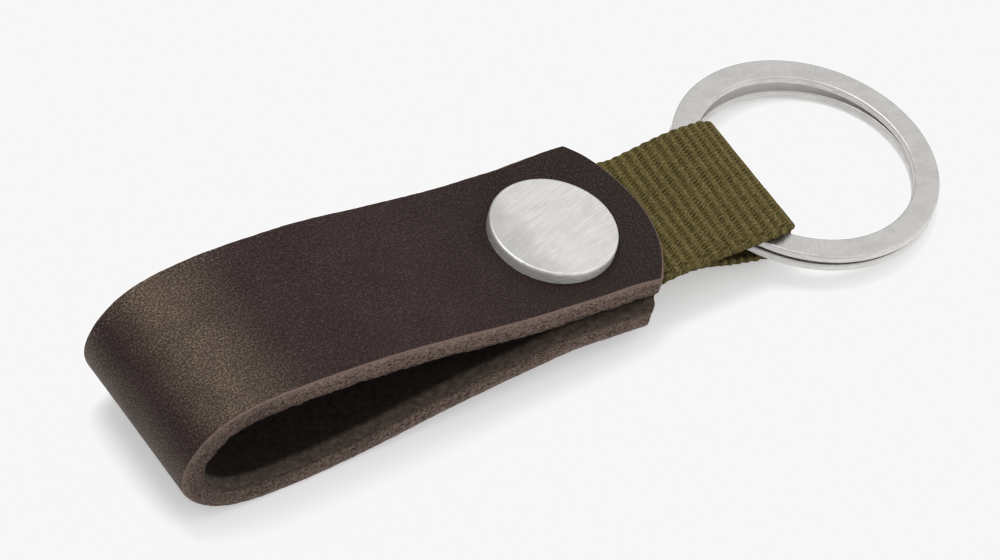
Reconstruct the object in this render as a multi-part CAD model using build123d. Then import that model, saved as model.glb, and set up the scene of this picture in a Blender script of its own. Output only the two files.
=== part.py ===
from build123d import *
import os
from math import cos, pi, radians, sin

# Leather key fob with a split ring, lying on a table.
#
# A leather strap is folded into a flat loop. A folded piece of webbing is held between its two ends
# by one screw post, whose wide front head is a plain disc. The webbing carries a flat-wire split ring.
#
# Origin: the centre of the front disc's face, where the axis of the post crosses it.
# +X runs along the fob from the leather loop towards the ring, +Y runs across it, +Z is up.
# The post stands at a small angle to +Z, because the strap slopes down towards its ends.
# All lengths are in millimetres and all angles in degrees.

# ---------------------------------------------------------------- leather strap
strap_width = 21.6
strap_thickness = 2.9
loop_height = 17.25         # table to the crown of the folded loop
fold_reach = 54.95          # post axis to the outside of the fold
end_corner_x = 8.1          # where the rounded end meets the long edges
end_tip_x = 12.2            # middle of the rounded end
fold_samples = 36           # points that carry the inside of the fold

# ---------------------------------------------------------------- clamped stack, measured along the post
stack_tilt = 6.7            # lean of the post towards +X
disc_height = 11.84         # centre of the disc's face above the table
top_leather_s = -0.8        # outer face of the upper leather
bottom_leather_s = -9.0     # outer face of the lower leather
flat_top_x = -6.5           # the upper leather is flat from here to its end
flat_bottom_x = -0.5        # the lower leather is flat from here to its end

# ---------------------------------------------------------------- screw post and screw
disc_radius = 7.5
disc_thickness = 1.7
disc_edge_round = 0.3
barrel_radius = 2.5
barrel_hole_radius = 2.6
barrel_short = 0.2          # the barrel stops this far above the screw head's seat
bore_end_s = -3.0           # bottom of the threaded bore
shank_end_s = -4.0          # tip of the screw
thread_radius = 1.5         # thread of the screw, drawn as a plain shank
thread_clearance = 0.05
screw_head_radius = 6.0
screw_head_thickness = 2.18
screw_edge_round = 0.5
screw_seat = 0.1            # how deep the screw head presses into the leather
slot_width = 1.2
slot_depth = 0.9
dimple_radius = 10.4        # outer edge of the dish that the disc presses into the leather
head_clearance = 0.1        # air around the rim of each head where it is pressed in
touch_gap = 0.02            # hairline between a head and the leather it sits on

# ---------------------------------------------------------------- webbing
webbing_width = 18.6
webbing_thickness = 1.1
clamped_gap = 0.1           # air between the two layers inside the leather
tail_start_x = -8.0
tail_end_x = 12.0
flex_x = 13.2               # line where the webbing bends at the leather's end
eye_start_x = 20.4          # slot that holds the ring
eye_end_x = 29.1
eye_height = 4.0
eye_centre_s = -5.05
eye_corner = 0.4
eye_entry = 1.4             # centre of the eye's round near end, from the start of the slot
fold_radius = 1.6           # outer corners of the webbing's fold

# ---------------------------------------------------------------- split ring
ring_radius = 15.95
wire_width = 3.0
wire_thickness = 0.95
wire_edge = 0.2
step_gap = 0.4              # between the coils, beside the crossover
coil_gap = 0.12             # where the two coils lie together
open_gap = 1.75             # where the free end of the lower coil stands off
closing = (235.0, 325.0)    # directions between which the step's gap closes
opening = (340.0, 470.0)    # directions between which the free end leaves the upper coil
ring_x = 36.87
ring_y = 0.8
ring_s = -3.47              # upper face of the ring
ring_tilt = 1.07            # ring against the stack
ring_start = 195.0          # direction of the upper coil's end, hidden inside the webbing
crossover = 35.0            # arc over which the wire steps from the upper coil to the lower
end_arc_gap = 1.0           # arc left between the lower coil's end and the crossover
path_step = 12.5            # arc between the points that carry the wire
guide_rise = 5.0            # height of the guide curve above the wire

full_turn = 360.0
cutter_reach = 30.0         # how far a cutting shape runs past what it cuts
plan_margin = 1.0           # the same, beside the long edges of the strap

stack_axis = Vector(sin(radians(stack_tilt)), 0, cos(radians(stack_tilt)))
stack_along = Vector(cos(radians(stack_tilt)), 0, -sin(radians(stack_tilt)))
stack = Plane(origin=(0, 0, 0), x_dir=stack_along, z_dir=stack_axis)
stack_section = Plane(origin=(0, 0, 0), x_dir=stack_along, z_dir=(0, -1, 0))
table_section = Plane(origin=(0, 0, -disc_height), x_dir=(1, 0, 0), z_dir=(0, -1, 0))


def on_stack(x, s):
    """A point of the strap's section, given along the leather (x) and along the post (s)."""
    return stack_section.from_local_coords(Vector(x, s, 0))


def on_table(x, height):
    """A point of the strap's section, given by its height above the table."""
    return table_section.from_local_coords(Vector(x, height, 0))


def post_cylinder(radius, s_low, s_high):
    """A cylinder on the post's axis between two levels."""
    disc = stack.offset(s_low) * Circle(radius)
    return extrude(disc, amount=s_high - s_low, dir=stack_axis)


def cut_barrel_hole(solid):
    """The hole that the barrel of the post passes through."""
    return solid - post_cylinder(barrel_hole_radius, -cutter_reach, cutter_reach)


def inner_side(edge, distance, count):
    """A spline parallel to `edge`, inside the fold."""
    across = Vector(0, 1, 0)
    points = []
    for i in range(count + 1):
        u = i / count
        points.append(edge.position_at(u) + edge.tangent_at(u).cross(across) * distance)
    return Spline(points, tangents=[edge.tangent_at(0), edge.tangent_at(1)])


def make_strap():
    # Outside of the folded strap, from the upper end round the fold to the lower end.
    overhang = end_tip_x + plan_margin
    top_end = on_stack(overhang, top_leather_s)
    top_start = on_stack(flat_top_x, top_leather_s)
    bottom_start = on_stack(flat_bottom_x, bottom_leather_s)
    bottom_end = on_stack(overhang, bottom_leather_s)
    fold = Spline(
        [
            top_start,
            on_table(-22.2, 14.95),
            on_table(-31.4, 16.45),
            on_table(-42.0, loop_height),
            on_table(-51.1, 15.6),
            on_table(-fold_reach, 8.9),
            on_table(-50.7, 2.25),
            on_table(-40.5, 0),
            on_table(-29.4, 0.55),
            on_table(-17.8, 2.1),
            on_table(-8.5, 2.8),
            bottom_start,
        ],
        tangents=[-stack_along, stack_along],
    )
    inner_fold = inner_side(fold, strap_thickness, fold_samples)
    top_inner = on_stack(overhang, top_leather_s - strap_thickness)
    bottom_inner = on_stack(overhang, bottom_leather_s + strap_thickness)
    outline = Wire(
        [
            Edge.make_line(top_end, top_start),
            fold,
            Edge.make_line(bottom_start, bottom_end),
            Edge.make_line(bottom_end, bottom_inner),
            Edge.make_line(bottom_inner, inner_fold @ 1),
            inner_fold,
            Edge.make_line(inner_fold @ 0, top_inner),
            Edge.make_line(top_inner, top_end),
        ]
    )
    strap = extrude(Face(outline), amount=strap_width / 2, dir=(0, 1, 0), both=True)

    # Both ends are cut together to one convex arc, square to the leather.
    half = strap_width / 2
    far_left = -fold_reach - cutter_reach
    beside = half + plan_margin
    end_arc = ThreePointArc((end_corner_x, -half), (end_tip_x, 0), (end_corner_x, half))
    plan = Polyline(
        (end_corner_x, half),
        (end_corner_x, beside),
        (far_left, beside),
        (far_left, -beside),
        (end_corner_x, -beside),
        (end_corner_x, -half),
    )
    keep = extrude(stack * make_face([end_arc, plan]), amount=cutter_reach, dir=stack_axis, both=True)
    strap = strap & keep

    # The disc dishes the upper leather; the screw head just marks the lower one.
    dish_depth = disc_thickness + top_leather_s + touch_gap
    dish = stack.offset(top_leather_s - dish_depth) * Cone(
        disc_radius + head_clearance, dimple_radius, dish_depth, align=(Align.CENTER, Align.CENTER, Align.MIN)
    )
    seat_s = bottom_leather_s + screw_seat
    seat = post_cylinder(screw_head_radius + head_clearance, seat_s - cutter_reach, seat_s)
    return cut_barrel_hole(strap - dish - seat)


def make_disc_post():
    head = post_cylinder(disc_radius, -disc_thickness, 0)
    rims = head.edges().filter_by(GeomType.CIRCLE)
    rims = rims.sort_by(Axis((0, 0, 0), tuple(stack_axis)))
    head = fillet(rims[-1:], disc_edge_round)
    barrel_end = bottom_leather_s + screw_seat + barrel_short
    barrel = post_cylinder(barrel_radius, barrel_end, -disc_thickness)
    bore = post_cylinder(thread_radius + thread_clearance, barrel_end - cutter_reach, bore_end_s)
    return head + barrel - bore


def make_rear_screw():
    head_top = bottom_leather_s + screw_seat - touch_gap
    head_bottom = head_top - screw_head_thickness
    head = post_cylinder(screw_head_radius, head_bottom, head_top)
    rims = head.edges().filter_by(GeomType.CIRCLE)
    rims = rims.sort_by(Axis((0, 0, 0), tuple(stack_axis)))
    head = fillet(rims[:1], screw_edge_round)
    slot = stack.offset(head_bottom - cutter_reach) * Box(
        cutter_reach, slot_width, slot_depth + cutter_reach, align=(Align.CENTER, Align.CENTER, Align.MIN)
    )
    shank = post_cylinder(thread_radius, head_top, shank_end_s)
    return head - slot + shank


def make_webbing_tail():
    # The two layers are pressed flat between the leather ends, so they are one block here.
    length = tail_end_x - tail_start_x
    middle_s = (top_leather_s + bottom_leather_s) / 2
    block = stack.offset(middle_s) * Pos((tail_start_x + tail_end_x) / 2, 0, 0) * Box(
        length, webbing_width, 2 * webbing_thickness + clamped_gap
    )
    return cut_barrel_hole(block)


def make_webbing_loop():
    # The free part of the folded webbing: closed where it bends, open where the ring passes through.
    root_s = (top_leather_s + bottom_leather_s) / 2
    outer_half = eye_height / 2 + webbing_thickness
    fold_x = eye_end_x + webbing_thickness - fold_radius
    hull_circles = [
        Pos(flex_x, root_s) * Circle(webbing_thickness),
        Pos(eye_start_x + eye_entry, eye_centre_s) * Circle(outer_half),
        Pos(fold_x, eye_centre_s + outer_half - fold_radius) * Circle(fold_radius),
        Pos(fold_x, eye_centre_s - outer_half + fold_radius) * Circle(fold_radius),
    ]
    outer = make_hull([circle.edge() for circle in hull_circles])
    slot_length = eye_end_x - eye_start_x
    slot = Pos(eye_start_x + slot_length / 2, eye_centre_s) * RectangleRounded(
        slot_length, eye_height, eye_corner
    )
    return extrude(stack_section * (outer - slot), amount=webbing_width / 2, dir=(0, 1, 0), both=True)


def ease(value, start, end):
    """Rises smoothly from 0 to 1 as `value` goes from `start` to `end`."""
    share = min(1.0, max(0.0, (value - start) / (end - start)))
    return share * share * (3 - 2 * share)


def wire_point(turn):
    """A point on the middle of the wire; `turn` is the angle wound from the upper coil's end."""
    angle = ring_start + turn
    upper = -wire_thickness / 2
    # The lower coil closes up under the upper one, then its free end stands off.
    closed = ease(angle - full_turn, *closing)
    opened = ease(angle - full_turn, *opening)
    gap = step_gap + (coil_gap - step_gap) * closed + (open_gap - coil_gap) * opened
    lower = upper - wire_thickness - gap
    if turn <= full_turn - crossover:
        height = upper
    elif turn < full_turn:
        step = (turn - full_turn + crossover) / crossover
        height = upper + (lower - upper) * (1 - cos(pi * step)) / 2
    else:
        height = lower
    middle_radius = ring_radius - wire_width / 2
    return Vector(middle_radius * cos(radians(angle)), middle_radius * sin(radians(angle)), height)


def make_split_ring():
    wound = 2 * full_turn - crossover - end_arc_gap
    count = round(wound / path_step)
    points = [wire_point(wound * i / count) for i in range(count + 1)]
    path = Spline(points)
    # A copy of the path straight above it keeps the wire's broad faces level.
    guide = Spline([point + Vector(0, 0, guide_rise) for point in points])
    outward = Vector(cos(radians(ring_start)), sin(radians(ring_start)), 0)
    start = Plane(origin=path @ 0, x_dir=outward, z_dir=path % 0)
    wire_section = start * RectangleRounded(wire_width, wire_thickness, wire_edge)
    coil = sweep(wire_section, path=path, binormal=guide)
    centre = stack.from_local_coords(Vector(ring_x, ring_y, ring_s))
    return Location(centre) * Rot(0, stack_tilt + ring_tilt, 0) * coil


pieces = {
    "leather_strap": make_strap(),
    "disc_post": make_disc_post(),
    "rear_screw": make_rear_screw(),
    "webbing_tail": make_webbing_tail(),
    "webbing_loop": make_webbing_loop(),
    "split_ring": make_split_ring(),
}

os.makedirs("parts", exist_ok=True)
for name, piece in pieces.items():
    piece.label = name
    export_step(piece, f"parts/{name}.step")
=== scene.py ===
from math import cos, pi, radians, sin

import bpy
import numpy as np
from mathutils import Matrix, Vector, noise


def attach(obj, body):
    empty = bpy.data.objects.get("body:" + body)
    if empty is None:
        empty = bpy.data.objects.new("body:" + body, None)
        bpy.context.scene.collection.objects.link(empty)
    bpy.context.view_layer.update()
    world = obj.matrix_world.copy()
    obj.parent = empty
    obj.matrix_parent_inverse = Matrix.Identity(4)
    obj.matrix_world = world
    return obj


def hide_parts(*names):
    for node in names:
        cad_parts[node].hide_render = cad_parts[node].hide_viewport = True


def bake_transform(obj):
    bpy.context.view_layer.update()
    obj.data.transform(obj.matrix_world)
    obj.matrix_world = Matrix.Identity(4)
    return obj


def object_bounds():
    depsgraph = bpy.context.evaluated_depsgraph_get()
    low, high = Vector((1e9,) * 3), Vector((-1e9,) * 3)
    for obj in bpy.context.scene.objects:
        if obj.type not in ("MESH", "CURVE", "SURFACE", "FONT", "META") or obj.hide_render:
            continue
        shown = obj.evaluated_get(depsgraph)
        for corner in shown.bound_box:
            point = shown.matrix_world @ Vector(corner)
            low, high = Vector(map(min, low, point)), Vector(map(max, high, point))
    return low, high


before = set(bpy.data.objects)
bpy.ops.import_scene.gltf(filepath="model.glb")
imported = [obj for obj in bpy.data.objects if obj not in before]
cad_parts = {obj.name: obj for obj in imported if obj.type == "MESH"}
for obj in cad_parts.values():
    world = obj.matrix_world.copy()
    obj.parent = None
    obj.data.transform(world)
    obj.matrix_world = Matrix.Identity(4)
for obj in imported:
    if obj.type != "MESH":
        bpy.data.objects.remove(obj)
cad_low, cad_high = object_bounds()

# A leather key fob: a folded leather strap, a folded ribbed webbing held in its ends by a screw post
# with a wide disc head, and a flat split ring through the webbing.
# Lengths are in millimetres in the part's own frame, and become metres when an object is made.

MM = 0.001

# ---------------------------------------------------------------- the strap
strap_width = 21.6
strap_thickness = 2.9
disc_height = 11.84          # the disc's face above the table
end_corner_x = 8.1           # where the rounded ends meet the long edges
end_tip_x = 12.2             # middle of the rounded ends
path_end_x = end_tip_x + 3   # the strap's path runs on past its rounded ends, to here
top_leather_s = -0.8         # outer faces of the two leather layers, along the post
bottom_leather_s = -9.0
layer_split_s = -6.0         # a height along the post between the two layers
flat_top_x = -6.5            # the upper layer is straight from here to its end
flat_bottom_x = -0.5         # the lower layer is straight from here to its end
grain_round = 0.5            # rounding of the cut edge at the grain side
flesh_round = 0.3            # rounding of the cut edge at the flesh side
disc_radius = 7.5
disc_underside_s = -1.7
disc_gap = 0.02              # the leather under the disc stays this far below it
dish_radius = 12.0           # the disc presses a dish into the leather out to here
dish_depth = 0.7             # depth of the dish at the disc's rim
corner_wear = 0.45           # the near corner of the upper end is worn down by this much
lower_end_wear = 0.9         # the lower end is worn round underneath by this much
cup_height = 0.1             # the upper layer's far edge stands this much higher all along,
cup_at_end = 0.48            # this much more again at its end,
cup_at_fold = 0.25           # and this much more towards the fold
lower_extra = 0.16           # the lower layer is this much thicker
barrel_hole = 2.6            # radius of the hole for the screw post
column_count = 41            # mesh columns across the strap
column_crowding = 0.65       # 0 spaces the columns evenly, 1 crowds them most at the long edges
row_step = 0.3               # mesh spacing along the strap

# ---------------------------------------------------------------- the webbing
webbing_half_width = 9.35
webbing_half_thickness = 0.46
rib_pitch = 1.3
rib_height = 0.2
rib_slant = 0.065            # the ribs run this much out of square, fading out at the fold
yarn_pitch = 0.455
stitch_lean = 1.05           # sideways lean of each stitch across one rib, in yarns
scallop_depth = 0.09         # the long edges go in and out this far with the ribs
selvedge = 0.5               # width of the rounded edge
chance_steps = (1.7, 2.9, 37.3)   # numbers that give every stitch its own depth
fold_share = 0.5             # how far along the webbing its fold is
corner_round = 0.95          # the corners of the fold are drawn in this far
corner_reach = 0.05          # over this share of the length on each side of the fold
webbing_hang = 0.65          # the lower layer hangs this far away from the ring
lower_set_over = 1.9         # the lower layer is set over this far towards the far edge,
set_over_taken_back = 1.1    # and comes back this much of it by the post
clamped_top_s = -4.3         # middles of the two layers where the leather clamps them
clamped_bottom_s = -5.5

# ---------------------------------------------------------------- the ring
ring_centre = (36.87, 0.8, -3.47)   # along the leather's ends, across them and along the post
ring_lean = 7.77             # the ring's axis leans this far from upright, in degrees
ring_radius = 15.95          # outside radius

# ---------------------------------------------------------------- the post and the layers on it
post_lean = 6.7              # the post's axis leans this far from upright, in degrees
stack_tilt = radians(post_lean)
stack_along = np.array((cos(stack_tilt), 0, -sin(stack_tilt)))
stack_axis = np.array((sin(stack_tilt), 0, cos(stack_tilt)))


def on_stack(x, s):
    """A point of the section (x, z), given along the leather's ends and along the post."""
    return (x * stack_along + s * stack_axis)[[0, 2]]


def on_table(x, height):
    """A point of the section (x, z), given by its height above the table."""
    return np.array((x, height - disc_height))


def smoothstep(low, high, value):
    t = np.clip((value - low) / (high - low), 0, 1)
    return t * t * (3 - 2 * t)


# ================================================================ paths
def spline_through(points, first_way, last_way, steps=60):
    """A smooth curve through `points` that leaves and arrives in the given directions."""
    points = np.array(points, float)
    span = np.linalg.norm(np.diff(points, axis=0), axis=1)
    count = len(points)
    system = np.eye(count)
    right = np.zeros((count, 2))
    right[0] = first_way
    right[-1] = last_way
    for i in range(1, count - 1):
        before, after = span[i - 1], span[i]
        system[i, i - 1:i + 2] = after, 2 * (before + after), before
        right[i] = 3 * after / before * (points[i] - points[i - 1])
        right[i] += 3 * before / after * (points[i + 1] - points[i])
    slopes = np.linalg.solve(system, right)
    curve = []
    for i in range(count - 1):
        t = np.linspace(0, 1, steps, endpoint=False)[:, None]
        curve.append(
            (1 + 2 * t) * (1 - t) ** 2 * points[i]
            + t * (1 - t) ** 2 * span[i] * slopes[i]
            + t * t * (3 - 2 * t) * points[i + 1]
            + t * t * (t - 1) * span[i] * slopes[i + 1]
        )
    curve.append(points[-1:])
    return np.concatenate(curve)


class Path:
    """A curve in the section that can be read at any distance along it."""

    def __init__(self, points):
        self.points = points
        steps = np.linalg.norm(np.diff(points, axis=0), axis=1)
        self.distance = np.concatenate(([0], np.cumsum(steps)))
        self.length = self.distance[-1]
        self.ways = np.gradient(points, self.distance, axis=0)

    def read(self, table, distance):
        """The values of `table`, which has a row for each of the curve's points, at a distance."""
        return np.stack([np.interp(distance, self.distance, table[:, k]) for k in (0, 1)], axis=-1)

    def at(self, distance):
        return self.read(self.points, distance)

    def way(self, distance):
        way = self.read(self.ways, distance)
        return way / np.linalg.norm(way, axis=-1, keepdims=True)


# ================================================================ meshes
def wobble(places, size, seed):
    """Smooth noise from -1 to 1 at each place, with features of about `size`."""
    flat = np.reshape(places, (-1, 3)) / size + seed * 7.3
    values = [noise.noise(Vector(p)) for p in flat]
    return np.reshape(values, np.shape(places)[:-1])


def make_object(name, points, faces, attributes):
    """A mesh object from points in millimetres, with float or vector attributes on its points."""
    mesh = bpy.data.meshes.new(name)
    mesh.from_pydata((points * MM).tolist(), [], faces)
    for key, values in attributes.items():
        kind, field = ("FLOAT_VECTOR", "vector") if np.ndim(values) == 2 else ("FLOAT", "value")
        layer = mesh.attributes.new(key, kind, "POINT")
        layer.data.foreach_set(field, np.ascontiguousarray(values, np.float32).ravel())
    mesh.polygons.foreach_set("use_smooth", [True] * len(mesh.polygons))
    mesh.update()
    made = bpy.data.objects.new(name, mesh)
    bpy.context.scene.collection.objects.link(made)
    return made


def cut_post_hole(piece):
    """Cuts the hole for the barrel of the screw post."""
    count = 64
    below, above = -15, 2
    turn = np.linspace(0, 2 * pi, count, endpoint=False)
    ring = np.outer(np.cos(turn), stack_along) + np.outer(np.sin(turn), (0, 1, 0))
    points = np.concatenate([barrel_hole * ring + s * stack_axis for s in (below, above)])
    faces = [(i, (i + 1) % count, (i + 1) % count + count, i + count) for i in range(count)]
    faces += [tuple(range(count))[::-1], tuple(range(count, 2 * count))]
    cutter = make_object("cutter", points, faces, {})
    hole = piece.modifiers.new("hole", "BOOLEAN")
    hole.operation = "DIFFERENCE"
    hole.solver = "MANIFOLD"
    hole.object = cutter
    graph = bpy.context.evaluated_depsgraph_get()
    cut = bpy.data.meshes.new_from_object(piece.evaluated_get(graph))
    piece.modifiers.clear()
    piece.data = cut
    bpy.data.objects.remove(cutter)


# ================================================================ leather strap
def strap_path():
    """The grain side of the strap, from the upper end round the fold to the lower end."""
    top = [on_stack(path_end_x, top_leather_s), on_stack(flat_top_x, top_leather_s)]
    bottom = [on_stack(flat_bottom_x, bottom_leather_s), on_stack(path_end_x, bottom_leather_s)]
    along = stack_along[[0, 2]]
    fold = spline_through(
        [
            top[1],
            on_table(-22.2, 14.95),
            on_table(-31.4, 16.45),
            on_table(-42.0, 17.25),
            on_table(-51.0, 15.55),
            on_table(-54.8, 8.9),
            on_table(-50.6, 2.3),
            on_table(-40.5, -0.06),
            on_table(-29.4, 0.55),
            on_table(-17.8, 2.1),
            on_table(-8.5, 2.8),
            bottom[0],
        ],
        -along,
        along,
    )
    lead_in = np.linspace(top[0], top[1], 60, endpoint=False)
    lead_out = np.linspace(bottom[0], bottom[1], 60)[1:]
    return Path(np.concatenate((lead_in, fold, lead_out)))


def strap_plan(path):
    """The flat pattern of the strap: distance along the path and across it, for a grid of points."""
    half = strap_width / 2
    sagitta = end_tip_x - end_corner_x
    end_radius = (half * half + sagitta * sagitta) / (2 * sagitta)
    turn = np.linspace(-pi / 2, pi / 2, column_count)
    even = (1 - column_crowding) * turn / (pi / 2)
    across = (half - grain_round) * (column_crowding * np.sin(turn) + even)
    end_x = end_tip_x - end_radius + np.sqrt(end_radius ** 2 - across ** 2) - grain_round
    start = path_end_x - end_x
    finish = path.length - start
    flat_start = path_end_x - flat_top_x
    flat_finish = path.length - (path_end_x - flat_bottom_x)
    rows = []
    for low, high in ((start, flat_start), (flat_start, flat_finish), (flat_finish, finish)):
        steps = round(np.mean(high - low) / row_step)
        share = np.linspace(0, 1, steps, endpoint=False)[:, None]
        rows.append(low + (high - low + 0 * across) * share)
    rows.append(finish[None, :])
    along = np.concatenate(rows)
    return along, np.broadcast_to(across, along.shape)


def rim_profile():
    """Steps down the cut edge: how far out of the pattern, how deep, and how much of it is bare cut."""
    arc = np.radians((25, 50, 72, 90))
    outer = [(grain_round * sin(t), grain_round * (1 - cos(t)), sin(t) ** 3) for t in arc]
    wall_depths = np.linspace(grain_round, strap_thickness - flesh_round, 12)[1:-1]
    wall = [(grain_round, depth, 1.0) for depth in wall_depths]
    inner = []
    for t in arc[::-1]:
        out = grain_round - flesh_round * (1 - sin(t))
        inner.append((out, strap_thickness - flesh_round * (1 - cos(t)), sin(t)))
    return outer + wall + inner


def strap_relief(along, across, depth, place, path):
    """How far the leather is below the plain strap: the dish, worn ends, cupping and unevenness."""
    grain_side = 1 - smoothstep(0, strap_thickness, depth)
    x = place @ stack_along
    s = place @ stack_axis
    from_post = np.hypot(x, place[..., 1])
    upper = s > layer_split_s
    under_disc = 1 - smoothstep(disc_radius - 0.7, disc_radius - 0.2, from_post)
    dish = dish_depth * (1 - smoothstep(disc_radius, dish_radius, from_post))
    dish += (top_leather_s - disc_underside_s + disc_gap - dish_depth) * under_disc
    relief = np.where(upper, dish, 0) * grain_side
    # The near corner of the upper end is worn thin, and the lower end is worn round underneath.
    near_corner = smoothstep(3, 9, x) * smoothstep(6.5, 10.8, -across)
    relief += np.where(upper, corner_wear * near_corner, 0) * grain_side
    from_end = path.length - (path_end_x - end_tip_x) - along
    relief += lower_end_wear * (1 - smoothstep(-0.4, 1.5, from_end)) * grain_side * ~upper
    # The upper layer is cupped a little, so that its far edge stands higher, and flattens at the fold.
    near_end = 1 - smoothstep(7.0, 20.0, along)
    near_fold = smoothstep(36.0, 46.0, along)
    cupping = cup_height + cup_at_end * near_end + cup_at_fold * near_fold
    cupping = cupping * (1 - smoothstep(56.0, 64.0, along))
    relief -= cupping * smoothstep(2.0, 10.5, across)
    relief -= lower_extra * smoothstep(69.0, 79.0, along) * grain_side
    spots = np.stack((along, across, depth * 0.2), axis=-1)
    relief += 0.05 * wobble(spots, 7.0, 1) + 0.018 * wobble(spots, 1.3, 2)
    return relief


def make_strap():
    path = strap_path()
    along, across = strap_plan(path)
    rows, columns = along.shape

    def grid(depth):
        return np.stack((along, across, np.full_like(along, depth)), axis=-1).reshape(-1, 3)

    # The points round the outline of the grid, in order.
    loop = [(0, j) for j in range(columns)]
    loop += [(i, columns - 1) for i in range(1, rows)]
    loop += [(rows - 1, j) for j in range(columns - 2, -1, -1)]
    loop += [(i, 0) for i in range(rows - 2, 0, -1)]
    loop = np.array([i * columns + j for i, j in loop])
    count = len(loop)

    # Outward direction of the pattern's outline at each point of the loop.
    plan = grid(0)[loop][:, :2]
    step = np.roll(plan, -1, axis=0) - np.roll(plan, 1, axis=0)
    outward = np.stack((-step[:, 1], step[:, 0]), axis=1)
    outward /= np.linalg.norm(outward, axis=1, keepdims=True)

    profile = rim_profile()
    flat = [grid(0)]
    bare = [np.zeros(rows * columns)]
    for out, depth, cut in profile:
        ring = np.column_stack((plan + outward * out, np.full(count, depth)))
        # The cut face is fibrous, and most ragged towards the flesh side.
        fibres = wobble(ring * (0.8, 0.8, 1.6), 0.55, 3) * 0.09 + wobble(ring, 2.5, 4) * 0.08
        fibres *= 1 + 1.3 * smoothstep(1.9, 2.7, depth)
        ring[:, :2] += outward * (fibres * cut)[:, None]
        flat.append(ring)
        bare.append(np.full(count, cut))
    flat.append(grid(strap_thickness))
    bare.append(np.zeros(rows * columns))
    flat = np.concatenate(flat)
    bare = np.concatenate(bare)

    way = path.way(flat[:, 0])
    normal = np.stack((way[:, 1], np.zeros(len(way)), -way[:, 0]), axis=1)
    base = path.at(flat[:, 0])
    surface = np.stack((base[:, 0], flat[:, 1], base[:, 1]), axis=1)
    place = surface - normal * flat[:, 2:]
    relief = strap_relief(flat[:, 0], flat[:, 1], flat[:, 2], place, path)
    points = place - normal * relief[:, None]

    faces = []
    flesh = rows * columns + len(profile) * count
    for i in range(rows - 1):
        for j in range(columns - 1):
            a, b = i * columns + j, (i + 1) * columns + j
            faces.append((a, a + 1, b + 1, b))
            faces.append((flesh + a, flesh + b, flesh + b + 1, flesh + a + 1))
    rings = [loop] + [rows * columns + k * count + np.arange(count) for k in range(len(profile))]
    rings.append(flesh + loop)
    for upper, lower in zip(rings, rings[1:]):
        for k in range(count):
            after = (k + 1) % count
            faces.append((int(upper[after]), int(upper[k]), int(lower[k]), int(lower[after])))
    flesh_side = smoothstep(strap_thickness - 0.35, strap_thickness, flat[:, 2]) * (1 - bare * 0.6)
    attributes = {"flat": flat, "cut": bare, "flesh": flesh_side}
    strap = make_object("leather_strap_skin", points, faces, attributes)
    cut_post_hole(strap)
    return strap


# ================================================================ webbing
def webbing_side(upper, fold, lower):
    """One edge of the folded webbing, through the middle of its thickness, from points for on_stack."""
    inner_end, post = -8.0, 0.0
    points = [(inner_end, clamped_top_s), (post, clamped_top_s)] + upper + fold + lower
    points += [(post, clamped_bottom_s), (inner_end, clamped_bottom_s)]
    along = stack_along[[0, 2]]
    return Path(spline_through([on_stack(x, s) for x, s in points], along, -along))


def webbing_rows(path):
    """Distances along the webbing: close together where it shows, wide apart inside the leather."""
    hidden = 15.0
    fine = rib_pitch / 8
    head = np.arange(0, hidden, 1.0)
    shown = np.arange(hidden, path.length - hidden, fine)
    tail = np.linspace(path.length - hidden, path.length, 16)
    return np.concatenate((head, shown, tail))


def weave_count(along, across, share):
    """Rib number and yarn number at each point of the webbing, as slightly uneven as real cloth."""
    spots = np.stack((along, across, 0 * along), axis=-1)
    fade = smoothstep(0, 0.12, np.abs(share - fold_share))
    rib = (along - rib_slant * across * fade + 0.09 * wobble(spots, 3.0, 5)) / rib_pitch
    yarn = across / yarn_pitch + 0.25 * wobble(spots, 1.8, 6)
    return rib, yarn


def weave_height(rib, yarn):
    """Height of the woven face, as a share of rib_height: smooth ribs, and leaning pits in each valley."""
    valley = np.floor(rib)
    away = np.abs(rib - valley - 0.5)
    stitch = yarn - stitch_lean * (rib - valley - 0.5) + 0.5 * (valley % 2)
    nearest = np.round(stitch)
    chance = np.sin(valley * chance_steps[0] + nearest * chance_steps[1]) * chance_steps[2]
    chance = chance - np.floor(chance)
    gap = np.abs(stitch - nearest + 0.2 * (chance - 0.5))
    pit = (1 - smoothstep(0.14, 0.36, away)) * (1 - smoothstep(0.08, 0.32, gap)) * (0.6 + 0.4 * chance)
    return 0.5 + 0.35 * np.cos(2 * pi * rib) - 0.55 * pit


def webbing_columns():
    """Places across the webbing, closer together on its rounded edges, and its fullness at each."""
    flat_half = webbing_half_width - selvedge
    edge = flat_half + selvedge * np.sin(np.radians((20, 40, 60, 75, 90)))
    middle = np.linspace(-flat_half, flat_half, 5 * round(2 * flat_half / yarn_pitch) + 1)
    across = np.concatenate((-edge[::-1], middle, edge))
    past_flat = np.clip(np.abs(across) - flat_half, 0, None) / selvedge
    return across, np.sqrt(np.clip(1 - past_flat ** 2, 0, 1))


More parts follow.
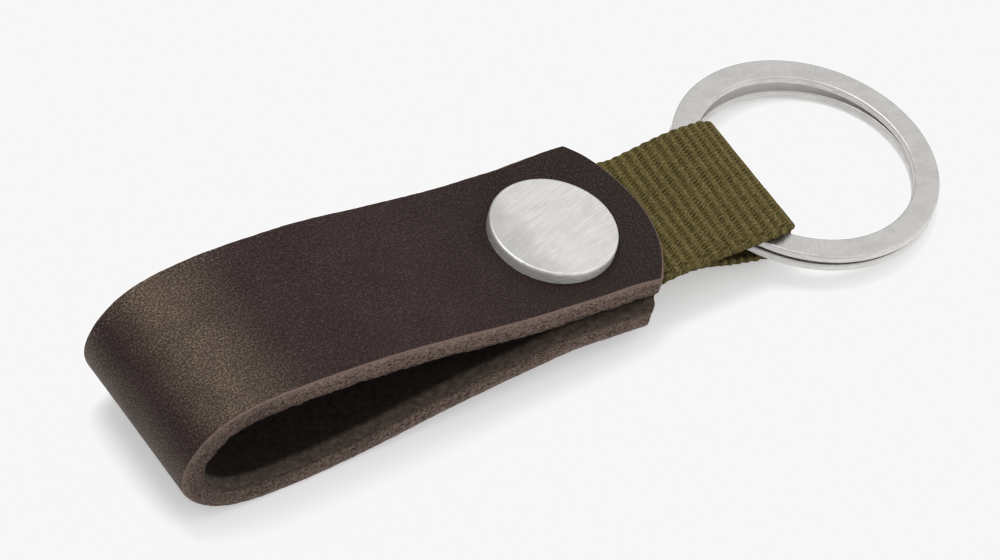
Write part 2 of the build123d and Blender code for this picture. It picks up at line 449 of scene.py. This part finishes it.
def webbing_middle(near, far, distance, across):
    """The middle surface: from the near edge's path to the far edge's, hanging and set over below."""
    share = distance / near.length
    half = webbing_half_width
    to_far = smoothstep(-half * 1.3, half * 1.1, across)
    start = near.at(share * near.length)[:, None, :]
    finish = far.at(share * far.length)[:, None, :]
    section = start + (finish - start) * to_far[None, :, None]
    # The lower layer hangs away from the ring, except at its near edge.
    hang = smoothstep(0.5, 0.54, share) * (1 - smoothstep(0.6, 0.68, share))
    hang = webbing_hang * np.outer(hang, smoothstep(-half - 0.3, -half + 0.8, across))
    section = section - hang[..., None] * stack_axis[[0, 2]]

    set_over = lower_set_over * smoothstep(0.42, 0.6, share)
    set_over -= set_over_taken_back * smoothstep(0.62, 0.88, share)
    sideways = across[None, :] + set_over[:, None]
    outwards = np.sign(across)
    scallop = scallop_depth * np.cos(2 * pi * distance / rib_pitch)
    sideways = sideways + np.outer(scallop, smoothstep(half - 0.9, half, np.abs(across)) * outwards)
    at_fold = 1 - smoothstep(0.0, corner_reach, np.abs(share - fold_share))
    at_corner = smoothstep(half - 3, half, np.abs(across)) * outwards
    sideways = sideways - corner_round * np.outer(at_fold, at_corner)
    return np.stack((section[..., 0], sideways, section[..., 1]), axis=-1)


def make_webbing():
    fold = [(28.7, -3.25), (29.12, -4.9), (28.65, -6.5)]
    near = webbing_side(
        [(9.2, -4.2), (12.0, -3.55), (15.2, -3.12), (19.1, -2.85), (23.0, -2.6), (26.6, -2.45)],
        fold,
        [(26.8, -7.3), (23.6, -7.2), (20.0, -6.52), (16.0, -5.85), (11.0, -5.55)],
    )
    far = webbing_side(
        [(9.2, -4.3), (14.3, -4.05), (16.8, -3.54), (19.2, -2.95), (21.9, -2.4), (26.4, -2.38)],
        fold,
        [(26.6, -7.4), (21.0, -7.2), (16.0, -6.3), (11.0, -5.6)],
    )
    distance = webbing_rows(near)
    across, fullness = webbing_columns()
    grid = webbing_middle(near, far, distance, across)
    normal = np.cross(np.gradient(grid, axis=0), np.gradient(grid, axis=1))
    normal /= np.linalg.norm(normal, axis=-1, keepdims=True)

    along2, across2 = np.meshgrid(distance, across, indexing="ij")
    rib, yarn = weave_count(along2, across2, along2 / near.length)
    height = weave_height(rib, yarn)
    thickness = (webbing_half_thickness + rib_height * (height - 0.5)) * fullness
    outer = grid + normal * thickness[..., None]
    # The inner face shows only its ribs, so between its edges it has one column in four.
    last = len(across)
    coarse = np.concatenate((np.arange(6), np.arange(6, last - 6, 4), np.arange(last - 6, last)))[1:-1]
    ribs = 0.35 * rib_height * np.cos(2 * pi * rib)
    thickness = (webbing_half_thickness + ribs) * fullness
    inner = (grid - normal * thickness[..., None])[:, coarse[::-1]]

    section_points = np.concatenate((outer, inner), axis=1)
    rows, columns = section_points.shape[:2]
    faces = []
    for i in range(rows - 1):
        for j in range(columns):
            a, b = i * columns + j, i * columns + (j + 1) % columns
            faces.append((a, a + columns, b + columns, b))
    faces.append(tuple(range(columns)))
    faces.append(tuple(range((rows - 1) * columns, rows * columns))[::-1])
    weave = np.stack((rib, yarn, across2), axis=-1)
    weave = np.concatenate((weave, weave[:, coarse[::-1]]), axis=1).reshape(-1, 3)
    webbing = make_object("webbing_strip", section_points.reshape(-1, 3), faces, {"weave": weave})
    cut_post_hole(webbing)
    return webbing


# ================================================================ materials
def srgb(red, green, blue):
    """A node colour from ordinary 0-255 values."""
    def linear(value):
        value /= 255
        return value / 12.92 if value <= 0.04045 else ((value + 0.055) / 1.055) ** 2.4

    return (linear(red), linear(green), linear(blue), 1)


class Nodes:
    """Short hand for writing the nodes of one material, or of the world."""

    def __init__(self, owner):
        owner.use_nodes = True
        self.owner = owner
        self.tree = owner.node_tree

    def put(self, socket, value):
        if isinstance(value, bpy.types.NodeSocket):
            self.tree.links.new(value, socket)
        else:
            socket.default_value = value

    def add(self, kind, inputs, output=0, **settings):
        node = self.tree.nodes.new(kind)
        for key, value in settings.items():
            setattr(node, key, value)
        for key, value in inputs.items():
            self.put(node.inputs[key], value)
        return node.outputs[output]

    def attribute(self, name, output="Fac"):
        return self.add("ShaderNodeAttribute", {}, output, attribute_name=name)

    def math(self, operation, *values):
        return self.add("ShaderNodeMath", dict(enumerate(values)), operation=operation)

    def scaled(self, vector, factors):
        return self.add("ShaderNodeVectorMath", {0: vector, 1: factors}, operation="MULTIPLY")

    def part(self, vector, axis):
        return self.add("ShaderNodeSeparateXYZ", {0: vector}, output=axis)

    def noise(self, vector, scale, detail=4.0, roughness=0.6):
        inputs = {"Vector": vector, "Scale": scale, "Detail": detail, "Roughness": roughness}
        return self.add("ShaderNodeTexNoise", inputs)

    def ramp(self, value, low, high, to_low=0.0, to_high=1.0):
        inputs = {"Value": value, "From Min": low, "From Max": high, "To Min": to_low, "To Max": to_high}
        return self.add("ShaderNodeMapRange", inputs, interpolation_type="SMOOTHSTEP")

    def mix(self, factor, first, second):
        inputs = {"Factor": factor, 6: first, 7: second}
        return self.add("ShaderNodeMix", inputs, output=2, data_type="RGBA")

    def bump(self, height, distance, strength=1.0, below=None):
        inputs = {"Height": height, "Distance": distance, "Strength": strength}
        if below is not None:
            inputs["Normal"] = below
        return self.add("ShaderNodeBump", inputs)

    def finish(self, **inputs):
        """Sets the main shader's inputs, and gives back the material."""
        shader = self.tree.nodes["Principled BSDF"]
        for key, value in inputs.items():
            self.put(shader.inputs[key.replace("_", " ")], value)
        return self.owner


def new_material(name):
    return Nodes(bpy.data.materials.new(name))


def grain_colour(n, flat, mottle, along, across):
    """The strap's waxed outer face."""
    black_brown, dark_brown, mid_brown = srgb(31, 21, 20), srgb(36, 26, 25), srgb(62, 47, 43)
    blotch = n.noise(flat, 0.16, 3.0)
    specks = n.noise(flat, 4.4, 2.0, 0.7)
    scratch = n.noise(n.scaled(flat, (0.3, 2.0, 1.0)), 1.7, 3.0, 0.7)
    colour = n.mix(n.ramp(blotch, 0.35, 0.7), black_brown, dark_brown)
    colour = n.mix(n.ramp(mottle, 0.42, 0.78, 0, 0.5), colour, mid_brown)
    # It is darkest near the upper end.
    colour = n.mix(n.ramp(along, 14.0, 38.0, 0.5, 0.0), colour, srgb(23, 19, 14))

    # Painted sheen: bands across the fold are paler and warmer. This is partly waxed leather's pull-up
    # where the fold stretches it, and partly a painted reflection of the bright ceiling on the crown and
    # of the table on the heel.
    crown = n.math("MULTIPLY", n.ramp(along, 53.0, 64.5), n.ramp(along, 64.0, 71.0, 1, 0))
    heel = n.math("MULTIPLY", n.ramp(along, 70.5, 75.0), n.ramp(along, 77.0, 83.0, 1, 0))
    patchy = n.ramp(n.noise(flat, 0.22, 4.0), 0.3, 0.65, 0.55, 1.0)
    pullup_and_sheen = n.math("MULTIPLY", n.math("MAXIMUM", crown, n.math("MULTIPLY", heel, 0.6)), patchy)
    colour = n.mix(n.math("MULTIPLY", pullup_and_sheen, 0.75), colour, srgb(78, 66, 55))

    # Fine grain: dark pores, pale flecks and a few scratches along the strap.
    colour = n.mix(n.ramp(specks, 0.36, 0.5, 0.9, 0), colour, n.scaled(colour, (0.35, 0.35, 0.35)))
    colour = n.mix(n.ramp(specks, 0.5, 0.66, 0, 0.9), colour, n.scaled(colour, (2.9, 3.0, 3.0)))
    colour = n.mix(n.ramp(scratch, 0.64, 0.72, 0, 0.5), colour, n.scaled(colour, (2.6, 2.7, 2.8)))

    # Small scuffs along the far edge, where the fold rubs.
    far_edge = n.ramp(across, strap_width / 2 - 3.0, strap_width / 2 - 0.8)
    scuff = n.math("MULTIPLY", far_edge, n.ramp(along, 50.0, 56.0))
    scuff = n.math("MULTIPLY", scuff, n.ramp(n.noise(flat, 3.0, 4.0, 0.8), 0.58, 0.64))
    return n.mix(n.math("MULTIPLY", scuff, 0.7), colour, srgb(134, 122, 108))


def cut_edge_colour(n, flat, along, depth):
    """The fibrous cut edges: palest near the grain side, darker near the flesh and round the fold."""
    dark_fibre, pale_fibre = srgb(46, 35, 30), srgb(144, 123, 112)
    fibres = n.noise(n.scaled(flat, (1.0, 1.0, 1.8)), 3.2, 6.0, 0.8)
    colour = n.mix(n.ramp(fibres, 0.4, 0.6), dark_fibre, pale_fibre)
    outer_layer = n.mix(n.ramp(fibres, 0.42, 0.58), srgb(116, 98, 88), srgb(166, 147, 136))
    colour = n.mix(n.ramp(depth, 0.3, 1.4, 0.5, 0.0), colour, outer_layer)
    colour = n.mix(n.ramp(depth, 2.0, 2.8, 0.0, 0.5), colour, srgb(50, 40, 35))
    stretched = n.math("MULTIPLY", n.ramp(along, 52.0, 62.0), n.ramp(along, 82.0, 92.0, 0.3, 0.0))
    return n.mix(stretched, colour, srgb(50, 38, 36))


def flesh_side_colour(n, flat, across):
    """The rough inner face: dark, and paler along the edges in painted light, where light reaches it past
    the other layer's edge before that layer's shadow falls further in.
    """
    nap = n.ramp(n.noise(flat, 1.3, 6.0, 0.8), 0.3, 0.7)
    plain = n.mix(nap, srgb(30, 25, 23), srgb(52, 45, 40))
    # Painted light: the paler colour along the edges stands in for light reaching the flesh side past the
    # other layer's edge; further in lies that layer's shadow.
    painted_lit_edge = n.mix(nap, srgb(74, 64, 58), srgb(122, 109, 98))
    near_edge = n.ramp(n.math("ABSOLUTE", across), strap_width / 2 - 2.1, strap_width / 2 - 1.2)
    return n.mix(near_edge, plain, painted_lit_edge)


def leather_material():
    n = new_material("waxed_leather")
    flat = n.attribute("flat", "Vector")
    cut = n.attribute("cut")
    flesh = n.attribute("flesh")
    along, across, depth = (n.part(flat, axis) for axis in range(3))
    mottle = n.noise(flat, 1.7, 5.0, 0.7)
    grain = grain_colour(n, flat, mottle, along, across)
    colour = n.mix(flesh, grain, flesh_side_colour(n, flat, across))
    # The arris of the grain side is paler.
    arris = n.math("MULTIPLY", n.ramp(cut, 0.02, 0.3), n.ramp(depth, 0.5, 1.2, 1, 0))
    colour = n.mix(n.math("MULTIPLY", arris, 0.7), colour, srgb(122, 103, 95))
    colour = n.mix(n.ramp(cut, 0.35, 0.95), colour, cut_edge_colour(n, flat, along, depth))
    rough = n.ramp(n.math("MAXIMUM", cut, flesh), 0.1, 0.7, 0.55, 0.95)
    rough = n.math("ADD", rough, n.ramp(mottle, 0.3, 0.7, -0.05, 0.07))

    pores = n.bump(n.noise(flat, 2.6, 6.0, 0.75), 0.06 * MM)
    nap = n.noise(n.scaled(flat, (1.0, 1.0, 2.0)), 3.6, 6.0, 0.8)
    fuzz_height = n.math("MULTIPLY", nap, n.math("MAXIMUM", cut, flesh))
    normal = n.bump(fuzz_height, 0.6 * MM, 1.0, pores)
    return n.finish(Base_Color=colour, Roughness=rough, Normal=normal, Specular_IOR_Level=0.08)


def webbing_material():
    """Olive yarn. The stitches follow weave_height, so that the dark pits are where the mesh has them."""
    n = new_material("olive_webbing")
    weave = n.attribute("weave", "Vector")
    rib, yarn, across = (n.part(weave, axis) for axis in range(3))
    valley_number = n.math("FLOOR", rib)
    past = n.math("SUBTRACT", n.math("FRACT", rib), 0.5)
    away = n.math("ABSOLUTE", past)
    parity = n.math("MULTIPLY", n.math("FLOORED_MODULO", valley_number, 2.0), 0.5)
    stitch = n.math("ADD", n.math("SUBTRACT", yarn, n.math("MULTIPLY", past, stitch_lean)), parity)
    nearest = n.math("ROUND", stitch)
    chance = n.math("ADD", n.math("MULTIPLY", valley_number, chance_steps[0]),
                    n.math("MULTIPLY", nearest, chance_steps[1]))
    chance = n.math("FRACT", n.math("MULTIPLY", n.math("SINE", chance), chance_steps[2]))
    shift = n.math("MULTIPLY", n.math("SUBTRACT", chance, 0.5), 0.2)
    gap = n.math("ABSOLUTE", n.math("ADD", n.math("SUBTRACT", stitch, nearest), shift))
    valley = n.ramp(away, 0.1, 0.38, 1, 0)
    pit = n.math("MULTIPLY", valley, n.ramp(gap, 0.05, 0.28, 1, 0))
    pit = n.math("MULTIPLY", pit, n.ramp(chance, 0.0, 1.0, 0.55, 1.0))

    # Larger holes along the near edge, where the weft turns back.
    turn_back = n.math("ABSOLUTE", n.math("SUBTRACT", n.math("FRACT", n.math("MULTIPLY", rib, 0.5)), 0.5))
    hole_inset = 0.75
    beside = n.math("ABSOLUTE", n.math("ADD", across, webbing_half_width - hole_inset))
    edge_hole = n.math("MULTIPLY", n.ramp(turn_back, 0.06, 0.16, 1, 0), n.ramp(beside, 0.12, 0.32, 1, 0))
    pit = n.math("MAXIMUM", pit, edge_hole)

    # Yarn with pale and dark fibres, with painted shade in the valleys and darker painted shade in the
    # pits and edge holes.
    tone = n.noise(weave, 0.25, 3.0)
    cloth = n.scaled(weave, (rib_pitch, yarn_pitch, 0.0))
    fibre = n.noise(cloth, 3.3, 2.0, 0.6)
    hair = n.noise(n.scaled(cloth, (1.0, 1.6, 1.0)), 4.2, 2.0, 0.6)
    thread = n.mix(n.ramp(tone, 0.35, 0.65), srgb(69, 60, 31), srgb(77, 68, 37))
    thread = n.mix(n.ramp(fibre, 0.5, 0.64, 0, 0.75), thread, srgb(103, 94, 60))
    thread = n.mix(n.ramp(fibre, 0.36, 0.5, 0.75, 0), thread, srgb(60, 51, 26))
    thread = n.mix(n.ramp(hair, 0.52, 0.66, 0, 0.4), thread, srgb(101, 92, 58))
    # Painted shade in the valleys, then darker painted shade in the pits.
    thread = n.mix(n.math("MULTIPLY", valley, 0.35), thread, srgb(58, 50, 22))
    colour = n.mix(n.math("MULTIPLY", pit, 0.85), thread, srgb(40, 33, 10))
    height = n.math("ADD", n.math("MULTIPLY", fibre, 0.7), n.math("MULTIPLY", hair, 0.4))
    height = n.math("SUBTRACT", height, pit)
    normal = n.bump(height, 0.09 * MM)
    return n.finish(Base_Color=colour, Roughness=0.85, Normal=normal, Specular_IOR_Level=0.08)


def steel_coordinates(n, place, lean, turn):
    """Millimetres from `place` on axes that lean by `lean` and turn by `turn` degrees."""
    placing = {
        "Vector": n.add("ShaderNodeTexCoord", {}, "Object"),
        "Location": tuple(place),
        "Rotation": (0, radians(lean), radians(turn)),
    }
    local = n.add("ShaderNodeMapping", placing, vector_type="TEXTURE")
    return n.scaled(local, (1 / MM, 1 / MM, 1 / MM))


def steel_material(name, place, lean, turn, tones, rim_lift, radial=False, stroke=4.0, fold_side_shade=0.0):
    """Brushed steel, brushed along the radius about `place` if radial, or else straight, at `turn`.

    `tones` are the face's dark and bright strokes and the rims' brightest. `rim_lift` turns the rims'
    shading up, `stroke` is how fine the brushing is, and `fold_side_shade` is how much painted shade
    darkens the side towards the strap's fold.
    """
    def darker(tone, amount):
        return srgb(*[value - amount for value in tone])

    dark, bright, rim_bright = tones
    n = new_material(name)
    local = steel_coordinates(n, place, lean, turn)
    x, y, z = (n.part(local, axis) for axis in range(3))
    angle = n.math("ARCTAN2", y, x)
    radius = n.math("SQRT", n.math("ADD", n.math("MULTIPLY", x, x), n.math("MULTIPLY", y, y)))
    if radial:
        along, across = radius, n.math("MULTIPLY", angle, ring_radius)
    else:
        along, across = x, y

    # The faces are brushed along the strokes, and the rims round along the edge.
    up = (sin(radians(lean)), 0, cos(radians(lean)))
    facing = n.add("ShaderNodeNewGeometry", {}, "Normal")
    facing = n.add("ShaderNodeVectorMath", {0: facing, 1: up}, "Value", operation="DOT_PRODUCT")
    rim = n.ramp(n.math("ABSOLUTE", facing), 0.15, 0.62, 1, 0)
    strokes = n.add("ShaderNodeCombineXYZ", {0: n.math("MULTIPLY", along, 0.05), 1: across, 2: z})
    lines = n.math("MULTIPLY", n.noise(strokes, stroke, 4.0, 0.7), n.math("SUBTRACT", 1.0, rim))
    around = n.add("ShaderNodeCombineXYZ", {0: angle, 1: z, 2: radius})
    rim_lines = n.math("MULTIPLY", n.noise(around, 9.0, 3.0, 0.7), rim)
    cloud = n.noise(n.scaled(local, (0.6, 1.0, 1.0)), 0.45, 5.0, 0.65)
    scratches = n.noise(n.scaled(strokes, (1.6, 0.5, 1.0)), 2.0, 2.0)
    colour = n.mix(n.ramp(n.math("ADD", lines, rim_lines), 0.3, 0.7), srgb(*dark), srgb(*bright))
    colour = n.mix(n.ramp(scratches, 0.62, 0.75, 0, 0.3), colour, darker(dark, 22))
    colour = n.mix(n.ramp(cloud, 0.38, 0.66, 0.0, 0.4), colour, darker(dark, 26))

    # Painted shade: the side towards the strap's fold is darker, standing in for the dimmer reflection the
    # face shows there.
    part_x = n.part(n.add("ShaderNodeTexCoord", {}, "Object"), 0)
    fold_side_mask = n.math("ADD", n.ramp(part_x, -1.5 * MM, -5.5 * MM), n.ramp(cloud, 0.3, 0.7, -0.3, 0.1))
    colour = n.mix(n.math("MULTIPLY", fold_side_mask, fold_side_shade), colour, darker(dark, 60))
    # Painted highlight: the rims and the faces that look down are brightened, standing in for the bright
    # reflections they catch.
    rim_highlight_mask = n.math("MAXIMUM", rim, n.ramp(facing, -0.2, -0.5))
    shine = n.mix(n.ramp(rim_lines, 0.3, 0.7), darker(rim_bright, 36), srgb(*rim_bright))
    colour = n.mix(n.math("MULTIPLY", rim_highlight_mask, 0.8), colour, shine)
    if radial:
        # Painted light: the lower coil's upper face, seen in the gap between the coils, is brightened,
        # standing in for light that reaches it through the gap.
        gap_face_light = n.math("MULTIPLY", n.ramp(z, -0.25, -0.6), n.ramp(facing, 0.9, 0.97))
        colour = n.mix(n.math("MULTIPLY", gap_face_light, 0.5), colour, srgb(244, 242, 239))
    rough = n.math("ADD", n.ramp(lines, 0.3, 0.7, 0.36, 0.44), n.ramp(cloud, 0.3, 0.7, -0.04, 0.06))
    rough = n.math("ADD", rough, n.math("MULTIPLY", rim, 0.15))

    normal = n.bump(lines, 0.007 * MM)
    normal = n.bump(rim_lines, 0.05 * MM, 1.0, normal)
    # A tumbled rim is a little rounded, so it catches light from above.
    lift = {0: up, "Scale": n.math("MULTIPLY", rim, rim_lift)}
    lift = n.add("ShaderNodeVectorMath", lift, operation="SCALE")
    normal = n.add("ShaderNodeVectorMath", {0: normal, 1: lift}, operation="ADD")
    normal = n.add("ShaderNodeVectorMath", {0: normal}, operation="NORMALIZE")
    return n.finish(Base_Color=colour, Metallic=1.0, Roughness=rough, Normal=normal)


def dress(piece, material):
    piece.data.materials.clear()
    piece.data.materials.append(material)


# ================================================================ build
strap = make_strap()
dress(strap, leather_material())
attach(strap, "fob")
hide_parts("leather_strap")

webbing = make_webbing()
dress(webbing, webbing_material())
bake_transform(webbing)
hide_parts("webbing_tail", "webbing_loop")

ring_x, ring_y, ring_s = ring_centre
ring_place = (ring_x * stack_along + ring_s * stack_axis + np.array((0, ring_y, 0))) * MM
steels = {
    "disc_post": steel_material(
        "brushed_disc", place=(0, 0, 0), lean=post_lean, turn=18,
        tones=((197, 195, 192), (218, 216, 213), (198, 196, 193)), rim_lift=0.4, stroke=6.5, fold_side_shade=0.45,
    ),
    "rear_screw": steel_material(
        "satin_screw", place=(0, 0, 0), lean=post_lean, turn=-35,
        tones=((172, 170, 167), (186, 184, 181), (190, 188, 185)), rim_lift=0.25,
    ),
    "split_ring": steel_material(
        "brushed_ring", place=ring_place, lean=ring_lean, turn=0, radial=True,
        tones=((182, 180, 178), (196, 194, 191), (214, 212, 209)), rim_lift=0.3,
    ),
}
for node, steel in steels.items():
    for material_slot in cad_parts[node].material_slots:
        material_slot.material = steel


# ================================================================ floor, light and camera
def make_floor():
    """A plain pale table top that reaches past every edge of the picture."""
    reach = 1500.0
    clearance = 0.03
    height = cad_low.z / MM - clearance
    corners = ((-reach, -reach), (reach, -reach), (reach, reach), (-reach, reach))
    floor = make_object("floor", np.array([(x, y, height) for x, y in corners]), [(0, 1, 2, 3)], {})
    table = new_material("pale_table")
    dress(floor, table.finish(Base_Color=(0.8, 0.8, 0.8, 1), Roughness=0.9, Specular_IOR_Level=0.1,
                              Emission_Color=(1, 1, 1, 1), Emission_Strength=0.27))


def make_world():
    """A bright ceiling that darkens towards the horizon, with a glow on the near right."""
    n = Nodes(bpy.data.worlds.new("studio"))
    bpy.context.scene.world = n.owner
    way = n.add("ShaderNodeTexCoord", {}, "Generated")
    ceiling = n.ramp(n.part(way, 2), 0.1, 0.8, 0.4, 0.93)
    near_right = (0.9, -0.45, 0)
    side = n.add("ShaderNodeVectorMath", {0: way, 1: near_right}, "Value", operation="DOT_PRODUCT")
    glow = n.ramp(side, 0.1, 0.9, 0.0, 0.6)
    background = n.tree.nodes["Background"]
    n.put(background.inputs["Color"], (1, 1, 1, 1))
    n.put(background.inputs["Strength"], n.math("ADD", ceiling, glow))


def add_softbox(name, way, distance, size, power):
    lamp = bpy.data.lights.new(name, "AREA")
    lamp.shape = "DISK"
    lamp.size = size * MM
    lamp.energy = power
    box = bpy.data.objects.new(name, lamp)
    way = Vector(way).normalized()
    box.location = way * distance * MM
    box.rotation_mode = "QUATERNION"
    box.rotation_quaternion = way.to_track_quat("Z", "Y")
    bpy.context.scene.collection.objects.link(box)


def make_camera():
    """A long lens that looks down on the fob from its near left."""
    heading, elevation, roll = radians(39.6), radians(49.0), radians(9.63)
    distance = 887.0
    aim = Vector((-7.2, -0.9, -4.6))
    forward = Vector((sin(heading) * cos(elevation), cos(heading) * cos(elevation), -sin(elevation)))
    level = Vector((cos(heading), -sin(heading), 0))
    right = cos(roll) * level + sin(roll) * level.cross(forward)
    up = right.cross(forward)
    camera = bpy.data.objects.new("camera", bpy.data.cameras.new("camera"))
    camera.data.lens = 284.3
    camera.data.sensor_width = 36
    camera.data.clip_start = 0.01
    turned = Matrix((right, up, -forward)).transposed().to_4x4()
    camera.matrix_world = Matrix.Translation((aim - forward * distance) * MM) @ turned
    bpy.context.scene.collection.objects.link(camera)
    bpy.context.scene.camera = camera


def set_paper_white():
    """Plain display colours, with everything brighter than the table shown as the table's white."""
    table_white = 0.93
    view = bpy.context.scene.view_settings
    view.view_transform = "Standard"
    view.use_curve_mapping = True
    all_channels = 3
    curve = view.curve_mapping.curves[all_channels]
    curve.points[-1].location = (1.0, table_white)
    # Tones up to this one are hardly changed.
    curve.points.new(0.88, 0.88)
    curve.points.new(0.96, 0.925)
    view.curve_mapping.update()


make_floor()
make_world()
add_softbox("key", way=(-0.07, 0.3, 0.95), distance=700, size=400, power=2.6)
make_camera()
set_paper_white()
